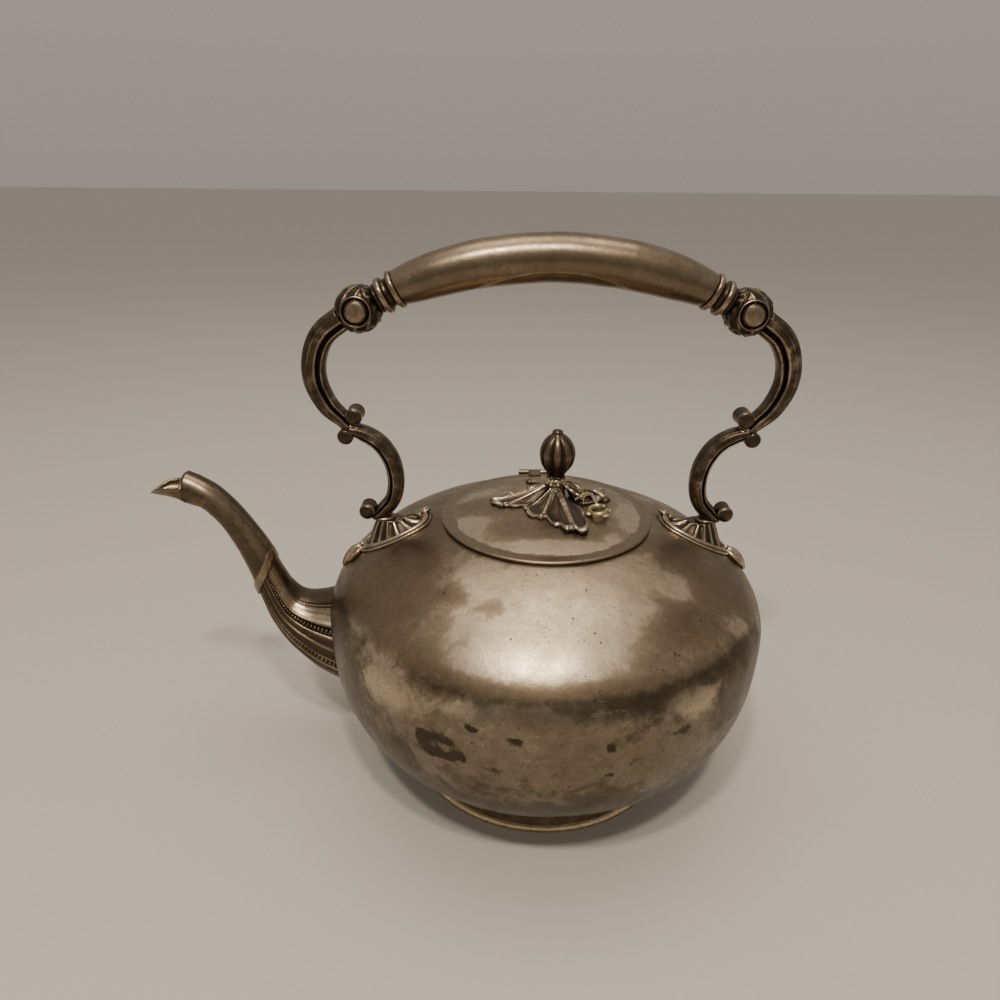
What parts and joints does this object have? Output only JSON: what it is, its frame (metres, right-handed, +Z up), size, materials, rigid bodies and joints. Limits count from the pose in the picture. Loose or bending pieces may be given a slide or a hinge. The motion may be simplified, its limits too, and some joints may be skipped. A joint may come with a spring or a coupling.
{
  "type": "teapot",
  "caption": "Silver kettle-form teapot with a squat round body on a ring foot, curved fluted spout, fixed overhead scroll handle and hinged lid with leaf and bud finial.",
  "frame": {"origin": "centre of the foot ring on the surface that the teapot stands on", "axes": "+Z up along the body's axis, -X towards the spout, +Y towards the lid's hinge at the back"},
  "size_m": [0.2589, 0.1824, 0.226],
  "materials": {
    "silver_body": "aged silver plate, worn satin with brown tarnish",
    "silver_foot": "aged silver plate, brassy where the rim is worn",
    "silver_spout": "aged silver plate, brown tarnish",
    "silver_handle": "aged silver plate, smooth and dark",
    "silver_lid": "aged silver plate, worn satin with tarnish",
    "silver_finial": "cast silver plate, bright edges, dark recesses",
    "dark_finial": "cast silver plate, dark brown tarnish",
    "silver_hinge": "aged silver plate, dark",
    "dark_silver": "cast silver plate, dark brown tarnish, worn ridges",
    "silver_mount": "cast silver plate, bright edges, dark recesses",
    "inner_brass": "plain dull brass"
  },
  "bodies": {
    "kettle": {"body_upper_shell": "silver_body", "body_lower_shell": "silver_body", "mouth_collar": "silver_body", "foot_ring": "silver_foot", "spout_base": "silver_spout", "spout_strap": "silver_spout", "spout_neck": "silver_spout", "handle_grip": "silver_handle", "hinge_body_leaf": "silver_hinge", "hinge_pin": "inner_brass", "grip_ferrule_left": "silver_handle", "handle_knuckle_left": "dark_silver", "upper_scroll_left": "dark_silver", "lower_scroll_left": "dark_silver", "handle_mount_left": "silver_mount", "grip_ferrule_right": "silver_handle", "handle_knuckle_right": "dark_silver", "upper_scroll_right": "dark_silver", "lower_scroll_right": "dark_silver", "handle_mount_right": "silver_mount"},
    "lid": {"lid_cover": "silver_lid", "lid_bezel": "silver_lid", "finial_leaf": "silver_finial", "finial_bud": "dark_finial", "finial_stud": "inner_brass", "finial_washer": "inner_brass", "finial_nut": "inner_brass", "hinge_lid_leaf": "silver_hinge"}
  },
  "joints": [
    {"name": "lid_hinge", "type": "hinge", "parent": "kettle", "child": "lid", "pos_m": [-0.003, 0.0456, 0.1158], "axis": [-1, 0, 0], "range_deg": [0, 100]}
  ]
}
